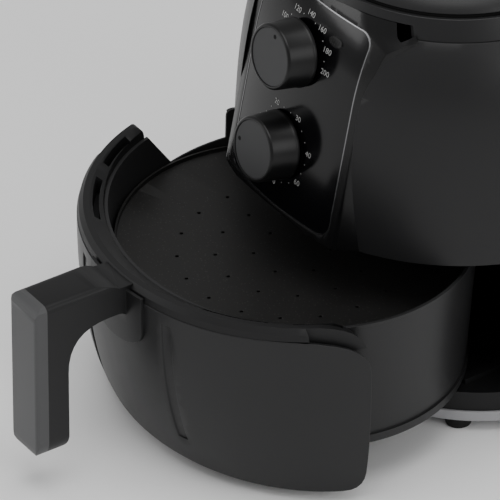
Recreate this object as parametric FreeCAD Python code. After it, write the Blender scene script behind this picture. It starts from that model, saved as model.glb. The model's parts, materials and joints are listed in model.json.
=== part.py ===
import FreeCAD, Part
import math
import os

# Two-knob drawer air fryer. Millimetres, +Z up, +X to the machine's right as seen from its front,
# the front faces -Y. The model is drawn about the body's upright axis and moved at the end so that
# the origin is the centre of the whole machine's floor plan. The drawer stands part way out.

V = FreeCAD.Vector
UP = V(0, 0, 1)
RIGHT = V(1, 0, 0)
BACK = V(0, 1, 0)

# ---------------------------------------------------------------- driving dimensions
DRAWER_OUT = 118.0            # how far the drawer stands open at rest
SKIN = 3.0                    # moulded outer skin
SHELL_WALL = 2.5              # wall of the upper housing
SHELL_EDGE_Z = 140.0          # lower edge of the upper housing above the drawer
RIM_Z = 129.0                 # pan rim and the top edge of the drawer front
CREST_Z = 137.0               # crest of the drawer's top frame
PANEL_BOTTOM_Z = 8.0
BASE_Z = 9.0                  # underside of the base
BASE_TOP_Z = 28.0
BASE_HALF = (126.0, 103.0)
FLOOR_T = 2.0                 # cavity floor plate
FOOT_X = 92.0
FOOT_Y = 54.0

# Outer skin of the machine and of the drawer front: height, half width, half depth.
SKIN_OVALS = ((8.0, 133.0, 110.0), (30.0, 136.0, 119.0), (60.0, 138.2, 126.5), (95.0, 139.0, 131.0),
              (140.0, 139.0, 132.0), (170.0, 137.8, 131.0), (200.0, 135.5, 129.0),
              (230.0, 131.5, 125.0), (252.0, 126.0, 120.0), (270.0, 118.5, 112.5), (285.0, 108.0, 102.5))
COLLAR_OVALS = ((284.6, 107.4, 101.9), (291.0, 104.4, 99.1), (297.4, 101.0, 95.9))
LID_OVALS = ((299.0, 98.0, 93.0), (305.0, 93.0, 88.2), (310.0, 80.0, 76.0), (313.0, 60.0, 57.0))

# Pan: an oval inside the drawer front's oval.
PAN_HALF = (126.0, 111.5)
PAN_BOTTOM_Z = 34.0
PAN_TAPER = 7.0
PAN_WALL = 1.2
PAN_FLOOR_T = 1.5
PAN_LIP = 1.0
TRAY_Z = 100.0
TRAY_T = 1.5
TRAY_LIP_Z = 104.5
TRAY_GAP = 1.6
TRAY_HOLE_R = 1.2
TRAY_HOLE_RINGS = ((24.0, 6), (48.0, 12), (72.0, 18))   # ring radius, holes in it

# Drawer front.
DOOR_END = 32.0               # the skin ends this far forward of its own centre
DOOR_GAP = 1.5
CREST_HALF = (135.2, 127.8)
WING_END = 29.0
WING_ROUND = 8.0              # rounding of the left wing's upper end
WING_FALL = 68.0              # the right wing falls away behind this
SHOULDER_END = 68.0           # the ledge over the front's skin ends this far forward
SHOULDER_GAP = 0.3
GROOVE_X = (42.0, 49.0)
GROOVE_Z = (31.0, 121.0)
GROOVE_DEPTH = 1.1

# Handle.
GRIP_FRONT = 200.0
GRIP_DEPTH = 24.0
COVER_T = 9.0
GRIP_HALF = 14.5
GRIP_TOP_Z = 142.0
GRIP_BOTTOM_Z = 28.0
NECK_BOTTOM_Z = 117.0
NECK_FILLET = 30.0
TONGUE_HALF = 28.0
TONGUE_BOTTOM_Z = 91.0
TONGUE_T = 2.2

# Control panel: bent round an upright axis, leaning back, its top rolled in to meet the collar.
PANEL_TILT = 11.3
PANEL_ZERO = V(0, -126.5, 186.0)
PANEL_R = 220.0
PANEL_LOW = -40.0
PANEL_HIGH = 101.0
PANEL_HALF = 52.5
PANEL_ROLL_START = 52.0       # above this height up the panel it rolls back
PANEL_ROLL_R = 190.0
PLATE_T = 2.0
BEZEL_TOP_Z = 292.0
STEM_CLEAR = (139.7, 132.3)     # half width and depth that the handle's stem keeps clear of the skin
BEZEL_GUARD = ((130.0, 170.0, 165.0), (252.0, 140.0, 134.0), (272.0, 122.0, 116.0),
               (284.6, 109.2, 103.7), (292.5, 104.0, 98.6))
BORDER = 8.5                  # flat border of the bezel round the glossy plate
BEZEL_DEPTH = 30.0
BEZEL_FLARE = 0.64            # how fast the bezel's sides spread towards the housing
BORDER_DEPTH = 8.5            # depth of the bent surface at the border's outer edge
KNOB_V = (0.0, 65.3)          # timer below, temperature above, up the panel
LENS_PLACE = (28.0, 86.0)
LENS_PROUD = 0.6
KNOB_R = 21.5
KNOB_TALL = 22.0
KNOB_LIFT = 1.2
SHAFT_R = 3.0
TIMER_CENTRE = 16.0           # middle of the timer's body up the panel
TIMER_TOP = -6.5              # its front face below the panel
TIMER_DEPTH = 30.0
BELL_STUD = 9.5
RUN_GAP = 0.05

# Air and heat, on the upright axis.
CHAMBER_R = 108.0
CHAMBER_TOP_Z = 168.0
REFLECTOR_TOP_Z = 164.4
MOTOR_Z = (194.0, 234.0)
MOTOR_R = 36.0
SPINDLE_R = 3.0
SWITCH_Z = 106.0


# ---------------------------------------------------------------- helpers
def oval(z, half_width, half_depth):
    """Level oval, longer across the machine."""
    if abs(half_width - half_depth) < 1e-6:
        edge = Part.Circle(V(0, 0, z), UP, half_width).toShape()
    else:
        edge = Part.Ellipse(V(0, 0, z), half_width, half_depth).toShape()
    return Part.Wire([edge])


def oval_solid(sections, inset=0.0):
    """Smooth closed solid through level ovals, each drawn in by the inset."""
    wires = [oval(z, a - inset, b - inset) for z, a, b in sections]
    return Part.makeLoft(wires, True, False)


def skin_solid(inset=0.0):
    return oval_solid(SKIN_OVALS, inset)


def oval_slab(half_width, half_depth, low, high):
    face = Part.Face(oval(low, half_width, half_depth))
    return face.extrude(V(0, 0, high - low))


def block(x0, x1, y0, y1, z0, z1):
    return Part.makeBox(x1 - x0, y1 - y0, z1 - z0, V(x0, y0, z0))


def post(radius, low, high, x=0.0, y=0.0):
    return Part.makeCylinder(radius, high - low, V(x, y, low), UP)


def join(shapes):
    """One solid from touching or overlapping shapes."""
    result = shapes[0].fuse(shapes[1:]) if len(shapes) > 1 else shapes[0]
    return result.removeSplitter()


def turned(points):
    """Solid of revolution about the upright axis from (radius, height) corners."""
    corners = [V(r, 0, z) for r, z in points]
    face = Part.Face(Part.makePolygon(corners + [corners[0]]))
    return face.revolve(V(0, 0, 0), UP, 360)


def side_prism(points, x0, x1):
    """Prism across the machine from (forward, height) corners; forward is -Y."""
    corners = [V(x0, -d, z) for d, z in points]
    face = Part.Face(Part.makePolygon(corners + [corners[0]]))
    return face.extrude(V(x1 - x0, 0, 0))


def curve_points(start, control, end, count):
    """Points on a smooth bend from start to end, drawn towards the control point."""
    points = []
    for i in range(count + 1):
        t = i / count
        a, b, c = (1 - t) ** 2, 2 * t * (1 - t), t * t
        points.append((a * start[0] + b * control[0] + c * end[0],
                       a * start[1] + b * control[1] + c * end[1]))
    return points


def moved_forward(shape, distance):
    copy = shape.copy()
    copy.translate(V(0, -distance, 0))
    return copy


def on_panel(shape):
    """Puts a shape drawn flat, +Z outwards, on the leaning control panel."""
    copy = shape.copy()
    turn = FreeCAD.Rotation(RIGHT, 90.0 - PANEL_TILT)
    copy.Placement = FreeCAD.Placement(PANEL_ZERO, turn).multiply(copy.Placement)
    return copy


# ---------------------------------------------------------------- pan
def pan_outline(inset, z):
    """Closed plan outline of the pan at one height."""
    half_width, half_depth = PAN_HALF
    return oval(z, half_width - inset, half_depth - inset)


def pan_inset(z):
    return PAN_TAPER * (RIM_Z - z) / (RIM_Z - PAN_BOTTOM_Z)


def pan_block(outset, low, high):
    """Solid of the pan's outer shape, grown outwards."""
    wires = [pan_outline(pan_inset(z) - outset, z) for z in (low, high)]
    return Part.makeLoft(wires, True, True)


def make_pan():
    body = pan_block(0.0, PAN_BOTTOM_Z, RIM_Z)
    roll = pan_block(1.4, PAN_BOTTOM_Z, PAN_BOTTOM_Z + 6.0)
    lip = pan_block(PAN_LIP, RIM_Z - 1.6, RIM_Z)
    inside = pan_block(-PAN_WALL, PAN_BOTTOM_Z + PAN_FLOOR_T, RIM_Z + 1.0)
    pan = body.fuse([roll, lip]).cut(inside)
    notch = [(WING_END - 2.0, RIM_Z + 2.0), (WING_END - 2.0, RIM_Z), (9.0, 103.0), (-30.0, 109.0),
             (-31.0, RIM_Z - 5.0)]
    notch += curve_points((-31.0, RIM_Z - 5.0), (-31.0, RIM_Z), (-36.0, RIM_Z), 5)[1:]
    notch += [(-36.0, RIM_Z + 2.0)]
    pan = pan.cut(side_prism(notch, -PAN_HALF[0] - 5.0, -PAN_HALF[0] + 25.0))
    return pan.removeSplitter()


def make_crisper_tray():
    edge = pan_inset(TRAY_Z) + PAN_WALL + TRAY_GAP
    outer = Part.Face(pan_outline(edge, TRAY_Z)).extrude(V(0, 0, TRAY_LIP_Z - TRAY_Z))
    inner = Part.Face(pan_outline(edge + 1.4, TRAY_Z + TRAY_T)).extrude(V(0, 0, TRAY_LIP_Z))
    tray = outer.cut(inner)
    holes = []
    for ring, count in TRAY_HOLE_RINGS:
        for i in range(count):
            turn = 2 * math.pi * i / count
            x, y = ring * math.cos(turn), ring * math.sin(turn)
            holes.append(post(TRAY_HOLE_R, TRAY_Z - 1.0, TRAY_Z + 3.0, x, y))
    return tray.cut(holes)


def make_tray_pads():
    """Four soft pads that hold the tray against the pan's wall."""
    edge = pan_inset(TRAY_Z) + PAN_WALL + TRAY_GAP
    pads = []
    for side in (-1, 1):
        x = side * (PAN_HALF[0] - edge)
        for y in (-14.0, 14.0):
            inner = x - side * 8.0
            outer = x + side * TRAY_GAP
            low_x, high_x = min(inner, outer), max(inner, outer)
            pad = block(low_x, high_x, y - 7.0, y + 7.0, TRAY_Z - 8.0, TRAY_Z)
            pads.append(pad.common(pan_block(-PAN_WALL - 0.4, PAN_BOTTOM_Z, RIM_Z)))
    return Part.makeCompound([solid for pad in pads for solid in pad.Solids])


# ---------------------------------------------------------------- drawer
def door_prism():
    """Side view of the drawer front: level top that falls away at its ends, rounded low corner."""
    low = PANEL_BOTTOM_Z
    points = [(150.0, low - 5.0), (DOOR_END + 12.0, low - 5.0)]
    points += curve_points((DOOR_END + 12.0, low), (DOOR_END, low), (DOOR_END, low + 14.0), 5)
    points += curve_points((DOOR_END, 100.0), (DOOR_END, RIM_Z), (88.0, RIM_Z), 8)
    points += [(150.0, RIM_Z)]
    return side_prism(points, -160.0, 160.0)


def bay_prism():
    """Side view of the opening in the housing that the drawer closes."""
    edge = DOOR_END - DOOR_GAP
    points = [(170.0, 0.0), (edge, 0.0), (edge, 112.0)]
    points += curve_points((edge, 118.0), (edge, SHELL_EDGE_Z), (52.0, SHELL_EDGE_Z), 6)
    points += [(170.0, SHELL_EDGE_Z)]
    return side_prism(points, -160.0, 160.0)


def make_drawer_front():
    outside = skin_solid()
    skin = outside.cut(skin_solid(SKIN)).common(door_prism())
    cutters = []
    groove_band = outside.cut(skin_solid(GROOVE_DEPTH))
    for side in (-1, 1):
        x0, x1 = sorted((side * GROOVE_X[0], side * GROOVE_X[1]))
        cutters.append(groove_band.common(block(x0, x1, -150, 0, *GROOVE_Z)))
    return skin.cut(cutters)


def make_drawer_back():
    """Inner skin of the hollow drawer front, close behind the outer one."""
    sheet = skin_solid(SKIN + 1.5).cut(skin_solid(SKIN + 3.3))
    window = block(-160, 160, -160, -(DOOR_END + 8.0), PANEL_BOTTOM_Z + 4.0, RIM_Z - 24.0)
    return sheet.common(window).cut(pan_block(PAN_LIP + 0.6, PAN_BOTTOM_Z - 20.0, RIM_Z + 5.0))


def frame_shoulder(grow=0.0):
    """Rounded ledge of the top frame that covers the upper edge of the drawer front."""
    a, b = CREST_HALF
    sections = ((RIM_Z + SHOULDER_GAP - grow, 3.8), (RIM_Z + 4.5, 2.9), (CREST_Z + grow, 0.2))
    wires = [oval(z, a + out + grow, b + out + grow) for z, out in sections]
    return Part.makeLoft(wires, True, True)


def make_drawer_frame():
    """Top frame round the pan's mouth, dished towards it. The left wing stays level, the right falls."""
    a, b = CREST_HALF
    low = RIM_Z - 11.0
    ring = oval_slab(a, b, low, CREST_Z)
    ledge = frame_shoulder().common(block(-160, 160, -160, -SHOULDER_END, RIM_Z, CREST_Z))
    ring = ring.fuse(ledge)
    dish = [oval(RIM_Z - 3.0, 112.0, 108.0), oval(CREST_Z + 0.4, a - 3.2, b - 3.2)]
    ring = ring.cut(Part.makeLoft(dish, True, True))
    ring = ring.cut(pan_block(PAN_LIP + 0.3, low - 1.0, CREST_Z + 2.0))
    high = CREST_Z + 0.5
    left = [(160.0, low - 1.0), (WING_END, low - 1.0)]
    left += curve_points((WING_END, CREST_Z - WING_ROUND), (WING_END, high), (WING_END + WING_ROUND, high), 5)
    left += [(160.0, high)]
    end = WING_END + 4.0
    right = [(160.0, low - 1.0), (end, low - 1.0)]
    right += curve_points((end, low), (end + 6.0, CREST_Z), (WING_FALL, high), 7)
    right += [(160.0, high)]
    ring = ring.common(side_prism(left, -160, 0).fuse(side_prism(right, 0, 160)))
    frame = ring.cut(wing_slots())
    return join([frame] + make_frame_ears())


def wing_slots():
    """Two air slots in each wing of the frame."""
    a, b = CREST_HALF
    slots = []
    band = oval_slab(a - 4.4, b - 6.4, RIM_Z - 6.0, CREST_Z + 3.0)
    band = band.cut(oval_slab(a - 8.4, b - 10.4, RIM_Z - 7.0, CREST_Z + 4.0))
    for side in (-1, 1):
        for start, end in ((29.0, 49.0), (56.0, 70.0)):
            wedge = [V(0, 0, RIM_Z - 8.0)]
            for angle in (start, (start + end) / 2, end):
                turn = math.radians(angle)
                wedge.append(V(side * 200 * math.sin(turn), -200 * math.cos(turn), RIM_Z - 8.0))
            face = Part.Face(Part.makePolygon(wedge + [wedge[0]]))
            slots.append(band.common(face.extrude(V(0, 0, 20))))
    return slots


def make_frame_ears():
    """Two short ribs under the frame that carry the drawer front's skin."""
    ears = []
    for side in (-1, 1):
        x0, x1 = sorted((side * 30.0, side * 38.0))
        rib = block(x0, x1, -132.0, -116.0, RIM_Z - 11.0, RIM_Z - 4.0)
        ears.append(rib.common(skin_solid(SKIN)))
    return ears


def grip_points(front, rear):
    """Side outline of the upright grip between two depths."""
    points = curve_points((front - 9.0, GRIP_TOP_Z), (front, GRIP_TOP_Z), (front, GRIP_TOP_Z - 9.0), 5)
    points += curve_points((front, GRIP_BOTTOM_Z + 9.0), (front, GRIP_BOTTOM_Z),
                           (front - 8.0, GRIP_BOTTOM_Z), 5)
    points += [(rear, GRIP_BOTTOM_Z)]
    points += [(rear, GRIP_TOP_Z)]
    return points


def grip_outline():
    """Front outline of the grip: rounded top corners and a half-round lower end, as a prism."""
    half, low, high = GRIP_HALF, GRIP_BOTTOM_Z, GRIP_TOP_Z
    corner, end = 5.0, 13.5
    points = [(half - corner, high), (corner - half, high)]
    points += curve_points((corner - half, high), (-half, high), (-half, high - corner), 4)[1:]
    points += curve_points((-half, low + end), (-half, low), (end - half, low), 8)
    points += curve_points((half - end, low), (half, low), (half, low + end), 8)
    points += curve_points((half, high - corner), (half, high), (half - corner, high), 4)[:-1]
    corners = [V(x, -GRIP_FRONT - 5.0, z) for x, z in points]
    face = Part.Face(Part.makePolygon(corners + [corners[0]]))
    return face.extrude(V(0, GRIP_FRONT, 0))


def make_handle_cover():
    seam = GRIP_FRONT - COVER_T
    cover = side_prism(grip_points(GRIP_FRONT, seam), -GRIP_HALF, GRIP_HALF)
    long_edges = []
    for edge in cover.Edges:
        box = edge.BoundBox
        if abs(box.YMin + GRIP_FRONT) < 1e-3 and abs(box.YMax + GRIP_FRONT) < 1e-3 and box.ZLength > 50:
            long_edges.append(edge)
    return cover.makeFillet(2.4, long_edges).common(grip_outline())


def make_handle_body():
    """Rear half of the grip, its neck and the tongue that is screwed to the drawer front."""
    seam = GRIP_FRONT - COVER_T
    rear = GRIP_FRONT - GRIP_DEPTH
    points = [(seam, GRIP_TOP_Z), (seam, GRIP_BOTTOM_Z)]
    points += curve_points((rear + 9.0, GRIP_BOTTOM_Z), (rear, GRIP_BOTTOM_Z), (rear, GRIP_BOTTOM_Z + 11.0), 5)
    points += curve_points((rear, NECK_BOTTOM_Z - NECK_FILLET), (rear, NECK_BOTTOM_Z),
                           (rear - NECK_FILLET, NECK_BOTTOM_Z), 8)
    points += curve_points((139.0, NECK_BOTTOM_Z), (133.0, NECK_BOTTOM_Z), (130.0, NECK_BOTTOM_Z - 9.0), 4)
    points += [(126.0, NECK_BOTTOM_Z - 9.0), (126.0, CREST_Z - 1.0)]
    points += curve_points((138.0, CREST_Z - 1.0), (146.0, GRIP_TOP_Z - 1.0), (158.0, GRIP_TOP_Z), 5)
    stem = side_prism(points, -GRIP_HALF, GRIP_HALF)
    tongue_zone = [V(-TONGUE_HALF, -160, RIM_Z + 4.0), V(TONGUE_HALF, -160, RIM_Z + 4.0),
                   V(TONGUE_HALF, -160, TONGUE_BOTTOM_Z + 16.0)]
    for i in range(1, 12):
        turn = math.pi * i / 12
        tongue_zone.append(V(TONGUE_HALF * math.cos(turn), -160,
                             TONGUE_BOTTOM_Z + 16.0 - 16.0 * math.sin(turn)))
    tongue_zone.append(V(-TONGUE_HALF, -160, TONGUE_BOTTOM_Z + 16.0))
    zone = Part.Face(Part.makePolygon(tongue_zone + [tongue_zone[0]])).extrude(V(0, 160, 0))
    tongue = skin_solid(-TONGUE_T).cut(skin_solid()).common(zone)
    stem = stem.common(grip_outline())
    stem = stem.cut(oval_slab(*STEM_CLEAR, NECK_BOTTOM_Z - 20.0, RIM_Z + SHOULDER_GAP))
    stem = stem.cut(frame_shoulder(0.2))
    return join([stem, tongue])


def make_handle_screws():
    """Two screws that hold the tongue, seen only from inside the drawer front."""
    screws = []
    for x in (-8.0, 8.0):
        screws.append(Part.makeCylinder(3.4, 2.2, V(x, -126.0, RIM_Z - 17.0), V(0, -1, 0)))
    return Part.makeCompound(screws)


# ---------------------------------------------------------------- housing
def panel_outline(grow, w):
    """Upright rectangle with rounded corners on the control panel, at depth w."""
    half, low, high = PANEL_HALF + grow, PANEL_LOW - grow, PANEL_HIGH + grow
    radius = 9.0
    corners = []
    for x, y, start in ((half - radius, low + radius, 270), (half - radius, high - radius, 0),
                        (radius - half, high - radius, 90), (radius - half, low + radius, 180)):
        corners.append(Part.makeCircle(radius, V(x, y, w), UP, start, start + 90))
    edges = []
    for i, corner in enumerate(corners):
        following = corners[(i + 1) % 4]
        edges.append(corner)
        edges.append(Part.makeLine(corner.valueAt(corner.LastParameter),
                                   following.valueAt(following.FirstParameter)))
    return Part.Wire(edges)


def panel_prism(grow, low, high):
    return Part.Face(panel_outline(grow, low)).extrude(V(0, 0, high - low))


def panel_form(inset):
    """Everything behind the panel's bent surface, drawn in by the inset; drawn flat."""
    radius = PANEL_R - inset
    bend = PANEL_ROLL_R - inset
    middle, end = math.radians(10.0), math.radians(20.0)
    start = V(radius, PANEL_ROLL_START, 0)
    on_way = V(radius - bend * (1 - math.cos(middle)), PANEL_ROLL_START + bend * math.sin(middle), 0)
    last = V(radius - bend * (1 - math.cos(end)), PANEL_ROLL_START + bend * math.sin(end), 0)
    top, foot = V(0, last.y, 0), V(0, PANEL_LOW - 30.0, 0)
    low = V(radius, PANEL_LOW - 30.0, 0)
    edges = [Part.makeLine(foot, low), Part.makeLine(low, start), Part.Arc(start, on_way, last).toShape(),
             Part.makeLine(last, top), Part.makeLine(top, foot)]
    form = Part.Face(Part.Wire(edges)).revolve(V(0, 0, 0), BACK, 360)
    form.translate(V(0, 0, -PANEL_R))
    return form


def drafted_block(grow, back, front):
    """Block on the control panel whose four sides spread towards the housing; drawn flat."""
    half, low, high = PANEL_HALF + BORDER + grow, PANEL_LOW - BORDER - grow, PANEL_HIGH + BORDER + grow
    angle = math.degrees(math.atan(BEZEL_FLARE))
    reach = 200.0
    sides = ((V(half, 0, 0), BACK, -angle, block(0, reach, -reach, reach, -reach, reach)),
             (V(-half, 0, 0), BACK, angle, block(-reach, 0, -reach, reach, -reach, reach)),
             (V(0, high, 0), RIGHT, angle, block(-reach, reach, 0, reach, -reach, reach)),
             (V(0, low, 0), RIGHT, -angle, block(-reach, reach, -reach, 0, -reach, reach)))
    body = block(-120.0, 120.0, low - 60.0, high + 60.0, back, front)
    for place, axis, turn, cutter in sides:
        cutter.rotate(V(0, 0, 0), axis, turn)
        cutter.translate(place - V(0, 0, BORDER_DEPTH))
        body = body.cut(cutter)
    uprights = [e for e in body.Edges if abs(e.Vertexes[0].Point.z - e.Vertexes[-1].Point.z) > 1.0]
    return body.makeFillet(9.0, uprights)


def bezel_space():
    """Everything the bezel takes from the housing, open towards the front."""
    placed = on_panel(drafted_block(0.0, -BEZEL_DEPTH, 30.0))
    return placed.common(block(-160, 160, -200, 0, SHELL_EDGE_Z + 0.6, BEZEL_TOP_Z))


def bezel_guard():
    """Tapering form that keeps the bezel's corners inside the housing."""
    return Part.makeLoft([oval(z, a, b) for z, a, b in BEZEL_GUARD], True, True)


def make_bezel():
    outside = drafted_block(0.0, -BEZEL_DEPTH, 2.0).common(panel_form(0.0))
    hollow = drafted_block(-3.0, -BEZEL_DEPTH - 1.0, 1.0).common(panel_form(PLATE_T + 2.5))
    seat = panel_prism(0.8, -30.0, 10.0).cut(panel_form(PLATE_T))
    cutters = [hollow, seat]
    for v in KNOB_V:
        cutters.append(Part.makeCylinder(5.3, 20, V(0, v, -10), UP))
    placed = on_panel(outside.cut(cutters))
    placed = placed.common(block(-160, 160, -200, 0, SHELL_EDGE_Z + 0.6, BEZEL_TOP_Z))
    return placed.common(bezel_guard())


def plate_solid(grow, low, high):
    """Part of the panel between two depths below its bent surface."""
    return panel_form(low).cut(panel_form(high)).common(panel_prism(grow, -30.0, 10.0))


def make_panel_plate():
    plate = plate_solid(0.0, 0.2, PLATE_T)
    for v in KNOB_V:
        plate = plate.cut(Part.makeCylinder(5.3, 6, V(0, v, -3), UP))
    return on_panel(plate.cut(lens_prism()))


def make_panel_trim():
    """Thin bright strip round the panel's edge."""
    return on_panel(plate_solid(0.8, 0.0, PLATE_T).cut(panel_prism(0.0, -40.0, 20.0)))


def lens_prism():
    """Oval prism through the panel at the indicator."""
    edge = Part.Ellipse(V(LENS_PLACE[0], LENS_PLACE[1], -12.0), 5.6, 3.2).toShape()
    return Part.Face(Part.Wire([edge])).extrude(V(0, 0, 16.0))


def make_lens():
    """Indicator lens, a little proud of the panel."""
    return on_panel(panel_form(-LENS_PROUD).cut(panel_form(PLATE_T)).common(lens_prism()))


def make_outer_shell():
    shell = skin_solid().cut(skin_solid(SHELL_WALL))
    shell = shell.common(block(-160, 160, -160, 160, BASE_Z, 285.0 - 0.4))
    inner_top = oval_slab(104.0, 98.5, 280.0, 290.0)
    for cutter in (bezel_space(), bay_prism(), grille_block(), gland_hole(), inner_top):
        shell = shell.cut(cutter)
    return shell


def make_top_collar():
    """Shoulder ring between the housing and the lid."""
    collar = oval_solid(COLLAR_OVALS).cut(oval_solid(COLLAR_OVALS, 2.5))
    return collar.cut(bezel_space().common(bezel_guard()))


def make_top_cover():
    """Shallow lid with a rounded shoulder."""
    lid = oval_solid(LID_OVALS)
    plug = oval_slab(94.0, 89.0, 292.0, 299.0)
    hollow = oval_slab(88.0, 83.0, 291.0, 300.5)
    return join([lid, plug]).cut(hollow)


def make_top_ring():
    """Ring in the groove between the lid and the collar."""
    return oval_slab(97.6, 92.6, 293.0, 298.6).cut(oval_slab(94.1, 89.1, 292.0, 300.0))


def grille_block():
    return block(-42.0, 42.0, 108.0, 140.0, 182.0, 232.0)


def make_rear_grille():
    """Louvred hot-air outlet in the back of the housing."""
    body = grille_block().common(oval_slab(145.0, 136.0, 170.0, 240.0)).common(
        block(-60, 60, 112, 150, 170, 240))
    hollow = block(-38.5, 38.5, 100.0, 150.0, 185.5, 228.5)
    frame = body.cut(hollow)
    slats = []
    for i in range(5):
        z = 190.0 + i * 8.3
        slats.append(block(-39.5, 39.5, 116.0, 126.0, z, z + 2.0))
    return join([frame] + slats)


def gland_hole():
    return Part.makeCylinder(7.0, 30.0, V(0, 115.0, 160.0), BACK)


def make_cord_gland():
    """Stepped bushing where the mains cord would leave."""
    stem = Part.makeCylinder(6.9, 12.0, V(0, 121.0, 160.0), BACK)
    flange = Part.makeCylinder(10.0, 3.0, V(0, 132.2, 160.0), BACK)
    nose = Part.makeCylinder(6.0, 6.0, V(0, 135.2, 160.0), BACK)
    bore = Part.makeCylinder(3.6, 40.0, V(0, 110.0, 160.0), BACK)
    return join([stem, flange, nose]).cut(bore)


# ---------------------------------------------------------------- base
def make_base_plate():
    """Shallow grey dish that closes the machine's underside."""
    a, b = BASE_HALF
    outer = oval_slab(a, b, BASE_Z, BASE_Z + 7.0)
    inner = oval_slab(a - 2.5, b - 2.5, BASE_Z + 2.0, BASE_Z + 8.0)
    return outer.cut(inner)


def make_base_tray():
    """Dark upper part of the base with the flat floor of the drawer bay."""
    a, b = BASE_HALF
    outer = oval_slab(a - 1.5, b - 1.5, BASE_Z + 7.0, BASE_TOP_Z + FLOOR_T)
    inner = oval_slab(a - 4.5, b - 4.5, BASE_Z + 6.0, BASE_TOP_Z)
    return outer.cut(inner)


def make_side_brackets():
    """Two brackets that tie the base to the side walls of the housing."""
    ties = []
    wall = skin_solid(SHELL_WALL)
    base = oval_slab(BASE_HALF[0] - 1.5, BASE_HALF[1] - 1.5, 0.0, BASE_TOP_Z + FLOOR_T)
    for side in (-1, 1):
        x0, x1 = sorted((side * 118.0, side * 140.0))
        for y in (10.0, 55.0):
            tie = block(x0, x1, y, y + 8.0, BASE_Z + 8.0, BASE_TOP_Z).common(wall).cut(base)
            ties.append(tie)
    return Part.makeCompound([s for tie in ties for s in tie.Solids])


def make_drawer_rails():
    rails = []
    for x in (-96.0, 90.0):
        rails.append(block(x, x + 6.0, -52.0, 52.0, BASE_TOP_Z + FLOOR_T, PAN_BOTTOM_Z - 0.4))
    return Part.makeCompound(rails)


def foot_places():
    return [(x, y) for x in (-FOOT_X, FOOT_X) for y in (-FOOT_Y, FOOT_Y)]


def make_feet():
    feet = [Part.makeCone(8.2, 10.0, BASE_Z, V(x, y, 0), UP) for x, y in foot_places()]
    return Part.makeCompound(feet)


def make_base_screws():
    """Screws up through the base into the tray, heads flush in the underside."""
    screws = []
    for x, y in ((-60.0, -60.0), (60.0, -60.0), (-60.0, 60.0), (60.0, 60.0)):
        screws.append(post(2.0, BASE_Z + 2.0, BASE_TOP_Z, x, y))
    return Part.makeCompound(screws)


# ---------------------------------------------------------------- air and heat
def make_divider():
    """Plate between the drawer bay and the machine's upper half."""
    outline = skin_solid(SHELL_WALL).common(block(-160, 160, -160, 160, 140.6, 142.0))
    behind_panel = block(-76.0, 76.0, -160.0, -104.6, 138.0, 144.0)
    return outline.cut([post(103.5, 139.0, 150.0), behind_panel])


def make_heater_housing():
    cup = post(CHAMBER_R, 142.0, CHAMBER_TOP_Z).cut(post(CHAMBER_R - 1.0, 141.0, CHAMBER_TOP_Z - 1.0))
    cup = cup.cut(post(5.0, 160.0, CHAMBER_TOP_Z + 5.0))
    for x in (-10.0, 10.0):
        cup = cup.cut(post(3.6, 160.0, CHAMBER_TOP_Z + 5.0, x, 80.0))
    return cup


def make_reflector():
    """Bright inner cup that throws the heat down."""
    top = REFLECTOR_TOP_Z
    cup = post(103.0, 143.0, top).cut(post(102.2, 142.0, top - 0.8))
    cup = cup.cut(post(5.0, 160.0, top + 5.0))
    for x in (-10.0, 10.0):
        cup = cup.cut(post(3.6, 160.0, top + 5.0, x, 80.0))
    spacers = [post(4.0, top, CHAMBER_TOP_Z - 1.0, 70 * math.cos(t), 70 * math.sin(t))
               for t in (0.3, 2.4, 4.5)]
    return join([cup] + spacers)


def make_heating_element():
    """Two bent tubes round the fan, joined at the back, with two upright terminals."""
    tubes = [Part.makeTorus(radius, 3.0, V(0, 0, 147.0), UP) for radius in (68.0, 82.0)]
    bridge = Part.makeCylinder(3.0, 14.0, V(0, -82.0, 147.0), BACK)
    pins = [post(2.4, 147.0, 178.0, x, 80.0) for x in (-10.0, 10.0)]
    return join(tubes + [bridge] + pins)


def make_element_guard():
    """Wire guard under the element."""
    rings = [Part.makeTorus(radius, 1.2, V(0, 0, 141.6), UP) for radius in (30.0, 55.0, 80.0, 99.0)]
    spokes = []
    for i in range(8):
        turn = math.pi * i / 4
        spokes.append(Part.makeCylinder(1.0, 74.0, V(29 * math.cos(turn), 29 * math.sin(turn), 141.6),
                                        V(math.cos(turn), math.sin(turn), 0)))
    return join(rings + spokes)


def make_hot_fan():
    hub = post(9.0, 148.0, 161.0).cut(post(SPINDLE_R, 140.0, 170.0))
    disc = post(56.0, 159.6, 161.0).cut(post(8.0, 150.0, 170.0))
    blades = []
    for i in range(10):
        blade = block(22.0, 55.5, -0.6, 0.6, 149.0, 160.0)
        blade.rotate(V(38, 0, 0), UP, 24)
        blade.rotate(V(0, 0, 0), UP, 36 * i)
        blades.append(blade)
    return join([hub, disc] + blades)


def make_cooling_fan():
    hub = post(9.0, 177.0, 188.0).cut(post(SPINDLE_R, 170.0, 195.0))
    disc = post(50.0, 176.6, 178.0).cut(post(8.0, 170.0, 190.0))
    blades = []
    for i in range(8):
        blade = block(8.0, 50.0, -0.6, 0.6, 177.5, 187.5)
        blade.rotate(V(0, 0, 0), UP, 45 * i)
        blades.append(blade)
    return join([hub, disc] + blades)


def make_motor_shaft():
    return post(SPINDLE_R, 146.5, MOTOR_Z[1] + 3.0)


def make_motor():
    low, high = MOTOR_Z
    can = post(MOTOR_R, low, high).cut(post(MOTOR_R - 4.0, low + 5.0, high - 5.0))
    bosses = [post(8.0, low - 3.0, low + 5.0), post(8.0, high - 5.0, high)]
    motor = join([can] + bosses)
    return motor.cut(post(SPINDLE_R + RUN_GAP, low - 10.0, high + 10.0))


def make_motor_windings():
    low, high = MOTOR_Z
    ring = post(MOTOR_R - 6.0, low + 7.0, high - 7.0).cut(post(14.0, low, high))
    foot = post(MOTOR_R - 12.0, low + 5.0, low + 7.0).cut(post(14.0, low, high))
    return join([ring, foot])


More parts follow.
